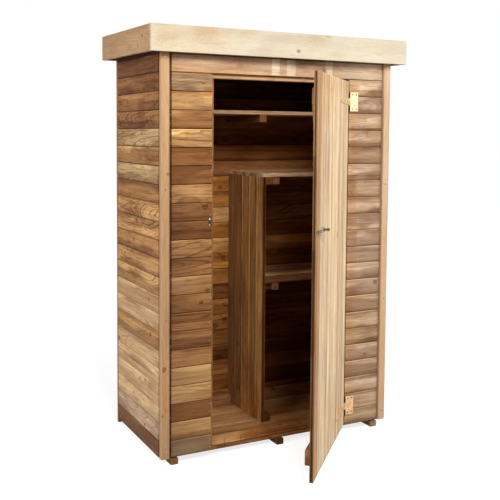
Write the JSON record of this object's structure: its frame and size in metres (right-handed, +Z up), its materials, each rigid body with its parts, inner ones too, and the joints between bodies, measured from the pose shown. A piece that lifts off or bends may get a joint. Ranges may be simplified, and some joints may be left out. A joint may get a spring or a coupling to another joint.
{
  "type": "garden storage cabinet",
  "caption": "Tall timber garden cabinet of tongue and groove boards with a flat felted roof behind a fascia, a braced door on strap hinges, a barrel bolt and inner shelves.",
  "frame": {"origin": "on the ground, under the middle of the cabinet's body, on the underside of the middle bearer", "axes": "+X to the right seen from the front, +Y to the back, +Z up; the doorway faces -Y"},
  "size_m": [1.39, 1.207, 2.0307],
  "materials": {
    "brown_pine": "brown pressure-treated pine boards, planed",
    "pale_pine": "pale planed pine boards",
    "pine_batten": "planed pine battens",
    "roofing_felt": "mineral roofing felt, matt",
    "yellow_zinc": "yellow zinc plated steel",
    "galvanised_steel": "galvanised steel",
    "screw_steel": "zinc plated steel"
  },
  "bodies": {
    "cabinet": {"back_corner_trims": "pine_batten", "back_foot_battens": "pine_batten", "back_wall_boards": "brown_pine", "bearer_center": "pine_batten", "bearer_left": "pine_batten", "bearer_right": "pine_batten", "cabinet_fitting_screws": "screw_steel", "corner_trim_left": "pine_batten", "corner_trim_right": "pine_batten", "fascia_back": "pale_pine", "fascia_front": "pale_pine", "fascia_left": "pale_pine", "fascia_right": "pale_pine", "floor_boards": "brown_pine", "front_left_boards": "brown_pine", "front_right_boards": "brown_pine", "header_boards": "brown_pine", "hinge_pin_bottom": "yellow_zinc", "hinge_pin_top": "yellow_zinc", "hinge_plate_bottom": "yellow_zinc", "hinge_plate_top": "yellow_zinc", "jamb_left": "pine_batten", "jamb_right": "pine_batten", "latch_keeper": "galvanised_steel", "left_wall_boards": "brown_pine", "lintel": "pine_batten", "lower_shelf_batten": "pine_batten", "lower_shelf_boards": "brown_pine", "lower_shelf_cleat_left": "pine_batten", "lower_shelf_cleat_right": "pine_batten", "middle_shelf_batten": "pine_batten", "middle_shelf_boards": "brown_pine", "middle_shelf_cleat_left": "pine_batten", "middle_shelf_cleat_right": "pine_batten", "partition_boards": "brown_pine", "partition_foot_cleat": "pine_batten", "post_back_left": "pine_batten", "post_back_right": "pine_batten", "post_front_left": "pine_batten", "post_front_right": "pine_batten", "rail_back": "pine_batten", "rail_front": "pine_batten", "right_wall_boards": "brown_pine", "roof_deck_boards": "brown_pine", "roof_felt": "roofing_felt", "threshold_strip": "pine_batten", "top_shelf_batten": "pine_batten", "top_shelf_boards": "brown_pine", "top_shelf_cleat_left": "pine_batten", "top_shelf_cleat_right": "pine_batten", "trim_screws": "screw_steel"},
    "door": {"door_boards": "pale_pine", "door_ledge_top": "pale_pine", "door_ledge_bottom": "pale_pine", "door_brace": "pale_pine", "hinge_strap_top": "yellow_zinc", "hinge_strap_bottom": "yellow_zinc", "latch_case": "galvanised_steel", "door_fitting_screws": "screw_steel"},
    "bolt": {"latch_bolt": "galvanised_steel"}
  },
  "joints": [
    {"name": "door_hinge", "type": "hinge", "parent": "cabinet", "child": "door", "pos_m": [0.383, -0.31, 0], "axis": [0, 0, 1], "range_deg": [-46, 120]},
    {"name": "bolt_slide", "type": "slide", "parent": "door", "child": "bolt", "axis": [-0.6947, -0.7193, 0], "range_m": [0, 0.034]}
  ]
}
